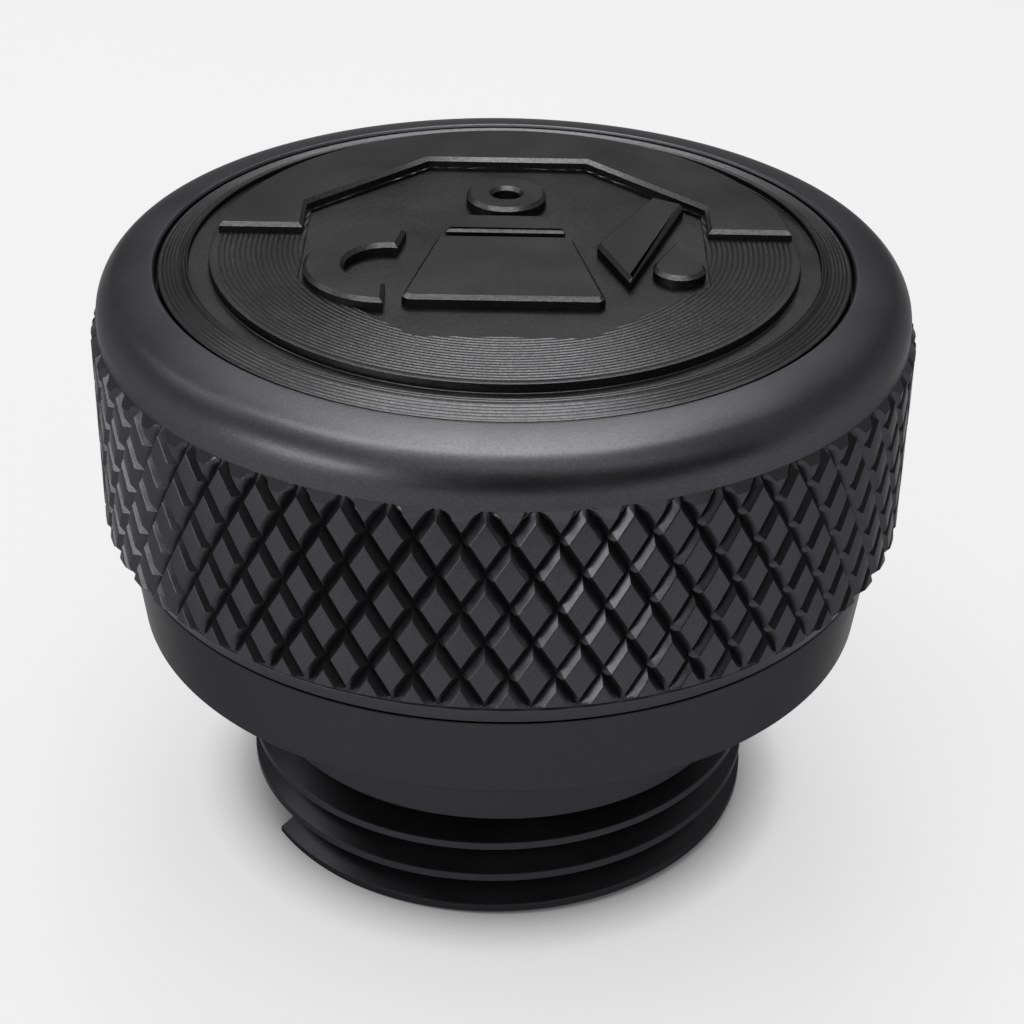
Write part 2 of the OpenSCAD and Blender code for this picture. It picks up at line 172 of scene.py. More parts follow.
class RingSettings(bpy.types.PropertyGroup):
    """Sizes of the grip ring"""

    base: FloatProperty(
        name="Base", description="Height of the ring's underside", default=ring_low, unit="LENGTH"
    )
    top: FloatProperty(
        name="Top", description="Height of the shoulder", default=ring_high, unit="LENGTH"
    )
    wall: FloatProperty(
        name="Wall", description="Radius of the smooth wall", default=31.5 * MM, unit="LENGTH"
    )
    bore: FloatProperty(
        name="Bore", description="Radius of the bore", default=26.9 * MM, unit="LENGTH"
    )
    shoulder: FloatProperty(
        name="Shoulder", description="Radius of its rounding", default=3.4 * MM, unit="LENGTH"
    )
    knurl: FloatProperty(
        name="Knurl", description="Radius over the knurl", default=32.0 * MM, unit="LENGTH"
    )
    knurl_low: FloatProperty(
        name="Knurl foot", description="Its height", default=ring_low + 2.05 * MM, unit="LENGTH"
    )
    knurl_high: FloatProperty(
        name="Knurl top", description="Its height", default=ring_high - 4.4 * MM, unit="LENGTH"
    )
    web: FloatProperty(
        name="Web", description="Thickness that the screws clamp", default=4.0 * MM, unit="LENGTH"
    )
    grooves: IntProperty(
        name="Grooves", description="Grooves in each direction", default=60, min=12
    )
    lean: FloatProperty(
        name="Lean",
        description="Angle of the grooves from the axis",
        default=math.radians(31.4),
        subtype="ANGLE",
    )
    phase: FloatProperty(
        name="Phase",
        description="Direction of one crossing in the lowest row",
        default=math.radians(4.5),
        subtype="ANGLE",
    )
    groove_width: FloatProperty(
        name="Groove width", description="At the surface", default=1.04 * MM, unit="LENGTH"
    )
    groove_depth: FloatProperty(
        name="Groove depth", description="From flat to root", default=0.6 * MM, unit="LENGTH"
    )
    groove_edge: FloatProperty(
        name="Groove edge", description="Rounding of its edges", default=0.06 * MM, unit="LENGTH"
    )


class DiscSettings(bpy.types.PropertyGroup):
    """Sizes of the top disc"""

    seat: FloatProperty(
        name="Seat", description="Height that the disc rests on", default=disc_low, unit="LENGTH"
    )
    face: FloatProperty(
        name="Face", description="Its height", default=disc_high - 0.75 * MM, unit="LENGTH"
    )
    face_radius: FloatProperty(
        name="Face radius", description="Radius of the turned face", default=22.7 * MM, unit="LENGTH"
    )
    pitch: FloatProperty(
        name="Turning pitch", description="Between turned grooves", default=0.4 * MM, unit="LENGTH"
    )
    groove: FloatProperty(
        name="Turning depth", description="Depth of turned grooves", default=0.04 * MM, unit="LENGTH"
    )
    floor_width: FloatProperty(
        name="Floor", description="Octagonal floor across flats", default=31.0 * MM, unit="LENGTH"
    )
    plate_top: FloatProperty(
        name="Plate top", description="Height of the raised plates", default=disc_high, unit="LENGTH"
    )
    plate_bevel: FloatProperty(
        name="Plate bevel", description="Bevel round the plates", default=0.3 * MM, unit="LENGTH"
    )


class BodySettings(bpy.types.PropertyGroup):
    """Sizes of the threaded body"""

    skirt_low: FloatProperty(
        name="Skirt foot", description="Height of its underside", default=18.8 * MM, unit="LENGTH"
    )
    skirt_high: FloatProperty(
        name="Skirt top", description="Height of its top", default=ring_low - 0.2 * MM, unit="LENGTH"
    )
    neck: FloatProperty(
        name="Neck", description="Radius of the plain neck", default=20.2 * MM, unit="LENGTH"
    )
    crest: FloatProperty(
        name="Crest", description="Radius over the thread", default=21.0 * MM, unit="LENGTH"
    )
    root: FloatProperty(
        name="Root", description="Radius at the thread's root", default=19.16 * MM, unit="LENGTH"
    )
    pitch: FloatProperty(
        name="Pitch", description="Advance in one turn", default=3.15 * MM, unit="LENGTH"
    )
    turns: FloatProperty(name="Turns", description="Turns of the thread", default=2.55, min=0.5)
    start: FloatProperty(
        name="Start",
        description="Direction in which the thread begins",
        default=math.radians(-149.0),
        subtype="ANGLE",
    )
    zone: FloatProperty(
        name="Thread zone", description="Height of the thread", default=9.0 * MM, unit="LENGTH"
    )


class FinishSettings(bpy.types.PropertyGroup):
    """Colours of the finishes"""

    blasted: FloatVectorProperty(
        name="Blasted", description="Bead-blasted shoulder", default=(0.068, 0.068, 0.072),
        size=3, subtype="COLOR",
    )
    knurled: FloatVectorProperty(
        name="Knurled", description="Knurled band", default=(0.055, 0.055, 0.058),
        size=3, subtype="COLOR",
    )
    turned: FloatVectorProperty(
        name="Turned", description="Turned body", default=(0.040, 0.040, 0.043),
        size=3, subtype="COLOR",
    )
    face: FloatVectorProperty(
        name="Face", description="Turned top disc", default=(0.055, 0.055, 0.056),
        size=3, subtype="COLOR",
    )
    rubber: FloatVectorProperty(
        name="Rubber", description="O-ring", default=(0.010, 0.010, 0.010),
        size=3, subtype="COLOR",
    )
    screws: FloatVectorProperty(
        name="Screws", description="Black zinc", default=(0.05, 0.05, 0.055),
        size=3, subtype="COLOR",
    )


class StageSettings(bpy.types.PropertyGroup):
    """Floor, light and camera"""

    floor: FloatVectorProperty(
        name="Floor", description="Colour of the floor", default=(0.17, 0.17, 0.17),
        size=3, subtype="COLOR",
    )
    distance: FloatProperty(
        name="Distance", description="From camera to aim point", default=191.9 * MM, unit="LENGTH"
    )
    elevation: FloatProperty(
        name="Elevation",
        description="Angle that the camera looks down",
        default=math.radians(30.92),
        subtype="ANGLE",
    )
    roll: FloatProperty(
        name="Roll", description="Turn of the camera", default=math.radians(0.97), subtype="ANGLE"
    )
    lens: FloatProperty(name="Lens", description="Focal length in millimetres", default=81.88)


# Shaping helpers


def rounded(corners):
    """A profile from corners of (radius, height, rounding), each rounded by a short curve."""
    outline = []
    for before, here, after in zip(corners[-1:] + corners[:-1], corners, corners[1:] + corners[:1]):
        corner = Vector(here[:2])
        if not here[2]:
            outline.append(corner)
            continue
        back = Vector(before[:2]) - corner
        onward = Vector(after[:2]) - corner
        start = corner + back.normalized() * min(here[2], back.length / 2)
        end = corner + onward.normalized() * min(here[2], onward.length / 2)
        for i in range(ROUND_STEPS + 1):
            t = i / ROUND_STEPS
            outline.append(start * (1 - t) ** 2 + corner * 2 * t * (1 - t) + end * t**2)
    return outline


def arc(centre, radius, first, last, segments):
    """Points on an arc between two angles in degrees."""
    points = []
    for i in range(segments + 1):
        a = math.radians(first + (last - first) * i / segments)
        points.append(Vector((centre[0] + radius * math.cos(a), centre[1] + radius * math.sin(a))))
    return points


def lathe(bm, outline, columns, closed=True):
    """Turns a profile of (radius, height) round the axis."""
    verts = [bm.verts.new((point[0], 0.0, point[1])) for point in outline]
    pairs = list(zip(verts, verts[1:]))
    if closed:
        pairs.append((verts[-1], verts[0]))
    edges = [bm.edges.new(pair) for pair in pairs]
    bmesh.ops.spin(
        bm, geom=verts + edges, cent=ORIGIN, axis=AXIS, dvec=ORIGIN,
        angle=math.tau, steps=columns, use_merge=True, use_duplicate=False,
    )
    bmesh.ops.remove_doubles(bm, verts=bm.verts[:], dist=0.0001 * MM)


def cut_level(bm, height, keep="both"):
    """Cuts all faces along a level plane and may drop what lies above or below it."""
    bmesh.ops.bisect_plane(
        bm, geom=bm.verts[:] + bm.edges[:] + bm.faces[:], dist=0.0001 * MM,
        plane_co=(0.0, 0.0, height), plane_no=AXIS,
        clear_outer=keep == "below", clear_inner=keep == "above",
    )


def rim_edges(bm, height):
    """Open edges of the mesh that lie at a height."""
    return [
        e for e in bm.edges
        if e.is_boundary and all(abs(v.co.z - height) < 0.002 * MM for v in e.verts)
    ]


def new_object(name, bm, *materials):
    """An object at the origin from a bmesh, with its faces outward."""
    bmesh.ops.recalc_face_normals(bm, faces=bm.faces[:])
    mesh = bpy.data.meshes.new(name)
    bm.to_mesh(mesh)
    bm.free()
    for material in materials:
        mesh.materials.append(material)
    made = bpy.data.objects.new(name, mesh)
    bpy.context.scene.collection.objects.link(made)
    return made


def combine(target, tool, operation):
    """Joins or cuts an object with another, which is then deleted."""
    modifier = target.modifiers.new("Combine", "BOOLEAN")
    modifier.operation = operation
    modifier.solver = "EXACT"
    modifier.object = tool
    graph = bpy.context.evaluated_depsgraph_get()
    mesh = bpy.data.meshes.new_from_object(target.evaluated_get(graph))
    target.modifiers.clear()
    old = target.data
    target.data = mesh
    mesh.name = target.name
    bpy.data.meshes.remove(old)
    used = tool.data
    bpy.data.objects.remove(tool)
    bpy.data.meshes.remove(used)


def dressed(made, node):
    """Smooths a finished piece apart from its corners and gives it its place in the frame."""
    bm = bmesh.new()
    bm.from_mesh(made.data)
    bmesh.ops.remove_doubles(bm, verts=bm.verts[:], dist=0.0002 * MM)
    for face in bm.faces:
        face.smooth = True
    bmesh.ops.triangulate(bm, faces=[face for face in bm.faces if len(face.verts) > 4])
    for edge in bm.edges:
        edge.smooth = len(edge.link_faces) == 2 and edge.calc_face_angle() < SHARP
    bm.to_mesh(made.data)
    bm.free()
    weight = made.modifiers.new("Even shading", "WEIGHTED_NORMAL")
    weight.keep_sharp = True
    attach(made, "root")
    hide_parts(node)


def screw_tools(name, outline):
    """Four lathe-turned cutters at the places of the clamp screws."""
    bm = bmesh.new()
    lathe(bm, outline, 48, closed=False)
    bmesh.ops.translate(bm, vec=(SCREW_CIRCLE, 0.0, 0.0), verts=bm.verts[:])
    bmesh.ops.rotate(
        bm, cent=ORIGIN, matrix=Matrix.Rotation(math.radians(45.0), 3, "Z"), verts=bm.verts[:]
    )
    bmesh.ops.spin(
        bm, geom=bm.verts[:] + bm.edges[:] + bm.faces[:], cent=ORIGIN, axis=AXIS, dvec=ORIGIN,
        angle=math.radians(270.0), steps=3, use_merge=False, use_duplicate=True,
    )
    return new_object(name, bm)


# Materials


class Finish:
    """A procedural material on object coordinates, built node by node."""

    def __init__(self, name):
        self.material = bpy.data.materials.new(name)
        self.material.use_nodes = True
        self.tree = self.material.node_tree
        self.shader = self.tree.nodes["Principled BSDF"]
        place = self.tree.nodes.new("ShaderNodeTexCoord")
        self.place = place.outputs["Object"]

    def node(self, kind, inputs=(), output=0, **settings):
        """Adds a node, sets or links its inputs, and returns one of its outputs."""
        made = self.tree.nodes.new("ShaderNode" + kind)
        for key, value in settings.items():
            setattr(made, key, value)
        for key, value in dict(inputs).items():
            if isinstance(value, bpy.types.NodeSocket):
                self.tree.links.new(value, made.inputs[key])
            else:
                made.inputs[key].default_value = value
        return made.outputs[output]

    def noise(self, scale, detail=2.0, roughness=0.5):
        """Noise in three directions."""
        return self.node("TexNoise", {
            "Vector": self.place, "Scale": scale, "Detail": detail, "Roughness": roughness,
        })

    def lines(self, along, scale):
        """Noise along one direction only."""
        return self.node(
            "TexNoise", {"W": along, "Scale": scale, "Detail": 2.0, "Roughness": 0.6},
            noise_dimensions="1D",
        )

    def math(self, operation, first, second):
        """Works out one value from two."""
        return self.node("Math", {0: first, 1: second}, operation=operation)

    def span(self, value, low, high):
        """Spreads the middle of a noise over a range."""
        return self.node("MapRange", {
            "Value": value, "From Min": 0.3, "From Max": 0.7, "To Min": low, "To Max": high,
        })

    def blend(self, factor, first, second):
        """Mixes two colours."""
        mix = self.tree.nodes.new("ShaderNodeMix")
        mix.data_type = "RGBA"
        self.tree.links.new(factor, mix.inputs["Factor"])
        mix.inputs["A"].default_value = (*first, 1.0)
        mix.inputs["B"].default_value = (*second, 1.0)
        return mix.outputs["Result"]

    def radius(self):
        """Distance from the cap's axis."""
        flat = self.node("VectorMath", {0: self.place, 1: (1.0, 1.0, 0.0)}, operation="MULTIPLY")
        return self.node("VectorMath", {0: flat}, output="Value", operation="LENGTH")

    def height(self):
        """Height above the thread's end."""
        return self.node("SeparateXYZ", {0: self.place}, output="Z")

    def bump(self, height, strength, distance, normal=None):
        """A bumped normal, over another bump if one is given."""
        inputs = {"Height": height, "Strength": strength, "Distance": distance}
        if normal:
            inputs["Normal"] = normal
        return self.node("Bump", inputs)

    def surface(self, color, roughness, normal, **constants):
        """Links the pattern to the shader and sets the plain values on its own sockets."""
        for key, value in {"Base Color": color, "Roughness": roughness, "Normal": normal}.items():
            if isinstance(value, bpy.types.NodeSocket):
                self.tree.links.new(value, self.shader.inputs[key])
            elif value is not None:
                self.shader.inputs[key].default_value = value
        for key, value in constants.items():
            self.shader.inputs[key.replace("_", " ")].default_value = value
        return self.material


def shade(color, factor):
    """A lighter or darker version of a colour."""
    return tuple(min(1.0, c * factor) for c in color)


def blasted_finish(color):
    """Black anodised aluminium with the fine grain of bead blasting."""
    f = Finish("anodised_blasted")
    grain = f.noise(5200.0, roughness=0.6)
    cloud = f.noise(140.0, detail=3.0)
    normal = f.bump(grain, 0.32, 0.025 * MM)
    tone = f.blend(f.span(grain, 0.0, 1.0), shade(color, 0.88), shade(color, 1.15))
    return f.surface(tone, f.span(cloud, 0.34, 0.41), normal, Metallic=1.0, Specular_Tint=EDGE)


def knurl_finish(color):
    """The same black on the knurl, whose flats keep faint turning lines."""
    f = Finish("anodised_knurl")
    grain = f.noise(6500.0)
    lines = f.lines(f.height(), 9000.0)
    cloud = f.noise(200.0, detail=3.0)
    normal = f.bump(lines, 0.15, 0.01 * MM, f.bump(grain, 0.22, 0.015 * MM))
    tone = f.blend(f.span(grain, 0.0, 1.0), shade(color, 0.88), shade(color, 1.14))
    return f.surface(tone, f.span(cloud, 0.30, 0.37), normal, Metallic=1.0, Specular_Tint=EDGE)


def turned_finish(color):
    """Black anodised aluminium with fine lathe lines round the axis."""
    f = Finish("anodised_turned")
    grain = f.noise(6000.0)
    along = f.math("ADD", f.height(), f.math("MULTIPLY", f.radius(), 1.1))
    lines = f.lines(along, 7000.0)
    cloud = f.noise(160.0, detail=3.0)
    normal = f.bump(lines, 0.06, 0.012 * MM, f.bump(grain, 0.12, 0.012 * MM))
    tone = f.blend(f.span(grain, 0.0, 1.0), shade(color, 0.93), shade(color, 1.08))
    return f.surface(tone, f.span(cloud, 0.31, 0.38), normal, Metallic=1.0, Specular_Tint=EDGE)


def face_finish(color):
    """Black anodised aluminium of the top disc, grained, with faint rings."""
    f = Finish("anodised_face")
    grain = f.noise(5600.0, roughness=0.6)
    rings = f.lines(f.radius(), 9000.0)
    cloud = f.noise(180.0, detail=3.0)
    normal = f.bump(rings, 0.12, 0.01 * MM, f.bump(grain, 0.4, 0.02 * MM))
    tone = f.blend(f.span(grain, 0.0, 1.0), shade(color, 0.75), shade(color, 1.4))
    return f.surface(tone, f.span(cloud, 0.30, 0.37), normal, Metallic=1.0, Specular_Tint=EDGE)


def rubber_finish(color):
    """Matt nitrile rubber."""
    f = Finish("nitrile_rubber")
    grain = f.noise(3000.0, detail=4.0)
    cloud = f.noise(250.0)
    tone = f.blend(f.span(cloud, 0.0, 1.0), shade(color, 0.8), shade(color, 1.5))
    return f.surface(tone, f.span(grain, 0.5, 0.62), f.bump(grain, 0.3, 0.02 * MM), IOR=1.5)


def screw_finish(color):
    """Black zinc on steel."""
    f = Finish("black_zinc_steel")
    grain = f.noise(2500.0, detail=3.0)
    tone = f.blend(f.span(grain, 0.0, 1.0), shade(color, 0.8), shade(color, 1.3))
    return f.surface(tone, f.span(grain, 0.28, 0.4), f.bump(grain, 0.2, 0.01 * MM), Metallic=1.0)


def floor_finish(color):
    """A pale light table: card with a glow of its own, darkened near the cap by ambient occlusion as
    a painted contact shadow.
    """
    f = Finish("pale_floor")
    cloud = f.noise(6.0)
    tone = f.blend(f.span(cloud, 0.0, 1.0), shade(color, 0.99), shade(color, 1.005))
    f.surface(tone, 0.9, None, IOR=1.3, Specular_IOR_Level=0.0)
    seen = f.node("LightPath", output="Is Camera Ray")
    for kind in ("Is Glossy Ray", "Is Transmission Ray"):
        seen = f.math("MAXIMUM", seen, f.node("LightPath", output=kind))
    # Painted shadow: ambient occlusion near the cap darkens the glow that the camera and reflections
    # see
    painted_shadow = f.node("AmbientOcclusion", {"Distance": PAINTED_SHADOW_REACH}, output="AO", samples=8)
    glow = f.math("MULTIPLY", seen, f.math("POWER", painted_shadow, PAINTED_SHADOW_POWER))
    light = f.node("Emission", {"Color": GLOW, "Strength": glow}, output="Emission")
    both = f.node("AddShader", {0: f.shader.outputs["BSDF"], 1: light})
    end = f.tree.nodes["Material Output"]
    f.tree.links.new(both, end.inputs["Surface"])
    return f.material


# Pieces


def groove_fall(s, across):
    """Depth of one knurl groove at a distance from its middle, with rounded edges."""
    half = s.groove_width / 2
    slope = s.groove_depth / half
    off = abs(across)
    if off >= half + s.groove_edge:
        return 0.0
    if off > half - s.groove_edge:
        return slope * (half + s.groove_edge - off) ** 2 / (4 * s.groove_edge)
    return slope * (half - off)


def knurl_radius(s, place):
    """Radius of the knurled surface at a place on its cylinder."""
    along = (math.atan2(place.y, place.x) - s.phase) * s.knurl
    rise = place.z - s.knurl_low
    period = math.tau * s.knurl / s.grooves * math.cos(s.lean)
    falls = []
    for side in (1, -1):
        across = along * math.cos(s.lean) - side * rise * math.sin(s.lean)
        falls.append(groove_fall(s, (across + period / 2) % period - period / 2))
    low_bevel = KNURL_FOOT + rise * LOW_SLOPE
    high_bevel = s.wall + (s.knurl_high - place.z) * HIGH_SLOPE
    radius = min(s.knurl - max(falls), low_bevel, high_bevel)
    return s.wall if s.knurl_high - place.z < 0.001 * MM else radius


def knurl_band(bm, s):
    """The knurled band: a diamond, repeated up the rows and round the ring, cut to length."""
    period = math.tau * s.knurl / s.grooves * math.cos(s.lean)
    half, edge = s.groove_width / 2, s.groove_edge
    near = [0.0, half - edge, half - edge / 3, half + edge / 3, half + edge]
    lines = near + [period / 2] + [period - x for x in reversed(near)]
    last = len(lines) - 1
    bmesh.ops.create_grid(bm, x_segments=last, y_segments=last, size=1.0)
    corners = {}
    for vert in bm.verts:
        i = round((vert.co.x + 1) / 2 * last)
        j = round((vert.co.y + 1) / 2 * last)
        corners[i, j] = vert
        along = (lines[i] + lines[j]) / 2 / math.cos(s.lean)
        rise = (lines[j] - lines[i]) / 2 / math.sin(s.lean)
        turn = s.phase + along / s.knurl
        vert.co = (s.knurl * math.cos(turn), s.knurl * math.sin(turn), s.knurl_low + rise)
    for i in range(last):
        for pair in {((i, i), (i + 1, i + 1)), ((i + 1, last - 1 - i), (i, last - i))}:
            bmesh.ops.connect_vert_pair(bm, verts=[corners[pair[0]], corners[pair[1]]])
    step = math.tau / s.grooves
    row_height = period / 2 / math.sin(s.lean)
    rows = math.ceil((s.knurl_high - s.knurl_low) / row_height) + 1
    diamond = bm.verts[:] + bm.edges[:] + bm.faces[:]
    for row in range(1, rows):
        copied = bmesh.ops.duplicate(bm, geom=diamond)["geom"]
        verts = [item for item in copied if isinstance(item, bmesh.types.BMVert)]
        turn = Matrix.Rotation(row * step / 2, 3, "Z")
        bmesh.ops.rotate(bm, cent=ORIGIN, matrix=turn, verts=verts)
        bmesh.ops.translate(bm, vec=(0.0, 0.0, row * row_height), verts=verts)
    bmesh.ops.spin(
        bm, geom=bm.verts[:] + bm.edges[:] + bm.faces[:], cent=ORIGIN, axis=AXIS, dvec=ORIGIN,
        angle=math.tau - step, steps=s.grooves - 1, use_merge=False, use_duplicate=True,
    )
    bmesh.ops.remove_doubles(bm, verts=bm.verts[:], dist=0.001 * MM)
    cut_level(bm, s.knurl_low, keep="above")
    cut_level(bm, s.knurl_high, keep="below")
    for rise in (0.15, 0.3, 0.45):
        cut_level(bm, s.knurl_low + rise * MM)
    for drop in (0.05, 0.24, 0.45, 0.66):
        cut_level(bm, s.knurl_high - drop * MM)
    for vert in bm.verts:
        reach = math.hypot(vert.co.x, vert.co.y)
        scale = knurl_radius(s, vert.co) / reach
        vert.co.x *= scale
        vert.co.y *= scale


def crown(start, centre, radius):
    """The ring's top: gently domed from the bore, then rounded down to the wall."""
    turned = arc(centre, radius, 90.0 - DOME_END, 0, 20)
    low, high = math.tan(math.radians(DOME_SLOPE)), math.tan(math.radians(DOME_END))
    first, last = Vector(start), turned[0]
    x = (last.y + high * last.x - first.y - low * first.x) / (high - low)
    corner = Vector((x, first.y - low * (x - first.x)))
    domed = []
    for i in range(DOME_STEPS):
        t = i / DOME_STEPS
        domed.append((1 - t) ** 2 * first + 2 * t * (1 - t) * corner + t ** 2 * last)
    return domed + turned


def ring_outline(s, seat):
    """Profile of the ring from the knurl's foot, through the bore, to the knurl's top."""
    low = s.knurl_low
    web_low = seat - s.web
    centre = (s.wall - s.shoulder, s.top - s.shoulder)
    foot = rounded([
        (LEDGE_FOOT, low - 0.02 * MM, 0),
        (LEDGE_MIDDLE, low - 0.17 * MM, 0.03 * MM),
        (COLLAR_LINE, low - 0.30 * MM, 0),
        (COLLAR_LINE, low - 0.36 * MM, 0),
        (COLLAR_TOP, low - 0.49 * MM, 0.03 * MM),
        (COLLAR_FOOT, s.base, 0.15 * MM),
        (s.bore, s.base, 0.2 * MM),
        (s.bore, web_low, 0.1 * MM),
        (PILOT_BORE, web_low, 0.2 * MM),
        (PILOT_BORE, seat, 0.2 * MM),
        (s.bore, seat, 0.1 * MM),
        (s.bore, s.top - 0.2 * MM, 0.05 * MM),
        (s.bore + 0.15 * MM, s.top - 0.01 * MM, 0.06 * MM),
        (s.bore + 0.4 * MM, s.top - 0.03 * MM, 0),
    ])
    return foot + crown((s.bore + 0.5 * MM, s.top - 0.04 * MM), centre, s.shoulder) + [
        Vector((s.wall, s.knurl_high + 0.4 * MM)),
        Vector((s.wall, s.knurl_high + 0.02 * MM)),
    ]


class CAP_OT_grip_ring(bpy.types.Operator):
    """Build the knurled grip ring with its rounded shoulder, bore and web"""

    bl_idname = "cap.grip_ring"
    bl_label = "Grip ring"

    def execute(self, context):
        s = context.scene.cap_ring
        seat = context.scene.cap_disc.seat
        finish = context.scene.cap_finish
        bm = bmesh.new()
        knurl_band(bm, s)
        for face in bm.faces:
            face.material_index = 1
        lathe(bm, ring_outline(s, seat), COLUMNS, closed=False)
        for level in (s.knurl_low, s.knurl_high):
            side = -0.02 * MM if level == s.knurl_low else 0.02 * MM
            loops = rim_edges(bm, level) + rim_edges(bm, level + side)
            bmesh.ops.bridge_loops(bm, edges=loops)
        ring = new_object(
            "grip_ring_knurled", bm, blasted_finish(finish.blasted), knurl_finish(finish.knurled)
        )
        under, over = seat - s.web - MM, seat + MM
        seats = screw_tools("seats", [
            (0.0, under), (SCREW_HOLE, under), (SCREW_HOLE, seat - SCREW_HEAD_DEPTH),
            (SCREW_HEAD, seat - 0.15 * MM), (SCREW_HEAD, over), (0.0, over),
        ])
        combine(ring, seats, "DIFFERENCE")
        dressed(ring, "grip_ring")
        return {"FINISHED"}


def scallops(first, last, count, height, depth, fall=0.0):
    """Turned grooves side by side, each a shallow hollow between two fine ridges."""
    outline = []
    pitch = (last - first) / count
    for i in range(count):
        for part, share in ((0.0, 0.0), (0.25, 0.75), (0.5, 1.0), (0.75, 0.75)):
            r = first + (i + part) * pitch
            outline.append(Vector((r, height + fall * (r - first) - depth * share)))
    outline.append(Vector((last, height + fall * (last - first))))
    return outline


def disc_outline(s):
    """Profile of the top disc, from its axis over the turned face to its rim and underside."""
    face, channel = s.face, s.face - CHANNEL_DEPTH
    turned_to = s.face_radius - TURNED_MARGIN
    count = round((turned_to - TURNED_FROM) / s.pitch)
    first = turned_to - count * s.pitch
    outline = [Vector((0.0, face)), Vector((8.0 * MM, face)), Vector((first - 0.1 * MM, face))]
    outline += scallops(first, turned_to, count, face, s.groove)
    outline += rounded([
        (s.face_radius - 0.3 * MM, face, 0),
        (s.face_radius, face, 0.06 * MM),
        (s.face_radius + 0.01 * MM, channel, 0.12 * MM),
        (LIP_WALL - 0.01 * MM, channel, 0.12 * MM),
        (LIP_WALL, face - 0.25 * MM, 0.04 * MM),
        (24.45 * MM, face - 0.27 * MM, 0.02 * MM),
        (24.51 * MM, face - 0.36 * MM, 0.02 * MM),
        (24.58 * MM, face - 0.29 * MM, 0.02 * MM),
        (24.68 * MM, face - 0.31 * MM, 0.03 * MM),
        (24.80 * MM, face - 0.47 * MM, 0.03 * MM),
        (RIM_LANDS, face - RIM_DEPTH, 0),
    ])[:-1]
    lands = scallops(RIM_LANDS, RIM_LANDS_END, 5, face - RIM_DEPTH, 0.07 * MM, fall=RIM_FALL)
    outline += lands
    outline += rounded([
        (26.5 * MM, lands[-1].y, 0),
        (RIM_EDGE, face - 0.8 * MM, 0.05 * MM),
        (RIM_EDGE, face - 2.0 * MM, 0.05 * MM),
        (DISC_WALL, face - 2.0 * MM, 0.05 * MM),
        (DISC_WALL, s.seat, 0.15 * MM),
        (0.0, s.seat, 0),
    ])
    return outline


def plate(bm, outline, foot, top, bevel, corner):
    """A raised plate: its outline as one face, raised, with a bevel round the top."""
    face = bm.faces.new([bm.verts.new((x * MM, y * MM, foot)) for x, y in outline])
    if corner:
        made = bmesh.ops.bevel(
            bm, geom=list(face.verts), affect="VERTICES", offset=corner * MM, segments=4,
            profile=0.5, material=-1, offset_type="OFFSET",
        )
        face = made["verts"][0].link_faces[0]
    raised = bmesh.ops.extrude_face_region(bm, geom=[face])["geom"]
    verts = [item for item in raised if isinstance(item, bmesh.types.BMVert)]
    bmesh.ops.translate(bm, vec=(0.0, 0.0, top - foot), verts=verts)
    lids = [item for item in raised if isinstance(item, bmesh.types.BMFace)]
    edges = [e for lid in lids for e in lid.edges]
    bmesh.ops.bevel(
        bm, geom=edges, affect="EDGES", offset=bevel, segments=1,
        profile=0.5, material=-1, offset_type="OFFSET",
    )


def pairs(points):
    """Plain number pairs from arc points that were made in millimetres."""
    return [(p.x, p.y) for p in points]


def relief(s):
    """The raised oil can, its drop and the crescent behind it."""
    foot = s.face - 0.45 * MM
    bm = bmesh.new()
    drop = pairs(arc(DROP_PLACE, DROP_RADIUS, 153, 387, 28)) + [DROP_TIP]
    outer = arc(HANDLE_PLACE, HANDLE_RADIUS, 80, 270, 48)
    handle = pairs(outer + arc(HANDLE_PLACE, HANDLE_HOLE, 270, 80, 36))
    end = math.degrees(math.asin(CRESCENT_END / CRESCENT_RADIUS))
    inner = s.floor_width / 2 / MM + CRESCENT_LEDGE
    tip = inner * math.tan(math.radians(22.5))
    crescent = pairs(arc((0, 0), CRESCENT_RADIUS, end, 180 - end, 120)) + [
        (-inner, CRESCENT_END), (-inner, tip), (-tip, inner),
        (tip, inner), (inner, tip), (inner, CRESCENT_END),
    ]
    plates = [
        (CAN, 0.0), (LID, CORNER), (SPOUT, CORNER), (drop, 0.0), (handle, 0.0), (crescent, 0.0),
    ]
    for outline, corner in plates:
        plate(bm, outline, foot, s.plate_top, s.plate_bevel, corner)
    knob = bmesh.new()
    eye, rim = KNOB_EYE * MM, KNOB_RADIUS * MM
    top, bevel = s.plate_top, s.plate_bevel
    lathe(knob, [
        (eye, foot), (rim, foot), (rim, top - bevel),
        (rim - bevel, top), (eye + bevel, top), (eye, top - bevel),
    ], 72)
    bmesh.ops.translate(knob, vec=(0.0, KNOB_PLACE * MM, 0.0), verts=knob.verts[:])
    part = bpy.data.meshes.new("knob")
    knob.to_mesh(part)
    knob.free()
    bm.from_mesh(part)
    bpy.data.meshes.remove(part)
    return new_object("relief", bm)


class CAP_OT_top_disc(bpy.types.Operator):
    """Build the turned top disc with its channel, grooves and raised oil can"""

    bl_idname = "cap.top_disc"
    bl_label = "Top disc"

    def execute(self, context):
        s = context.scene.cap_disc
        finish = face_finish(context.scene.cap_finish.face)
        bm = bmesh.new()
        lathe(bm, disc_outline(s), COLUMNS, closed=False)
        disc = new_object("top_disc_turned", bm, finish)
        bm = bmesh.new()
        reach = s.floor_width / 2 / math.cos(math.pi / 8)
        place = Matrix.Translation((0.0, 0.0, s.face - FLOOR_DEPTH + MM))
        bmesh.ops.create_cone(
            bm, cap_ends=True, segments=8, depth=2 * MM, radius1=reach, radius2=reach,
            matrix=place @ Matrix.Rotation(math.pi / 8, 4, "Z"),
        )
        combine(disc, new_object("floor_tool", bm, finish), "DIFFERENCE")
        plates = relief(s)
        plates.data.materials.append(finish)
        combine(disc, plates, "UNION")
        dressed(disc, "top_disc")
        return {"FINISHED"}


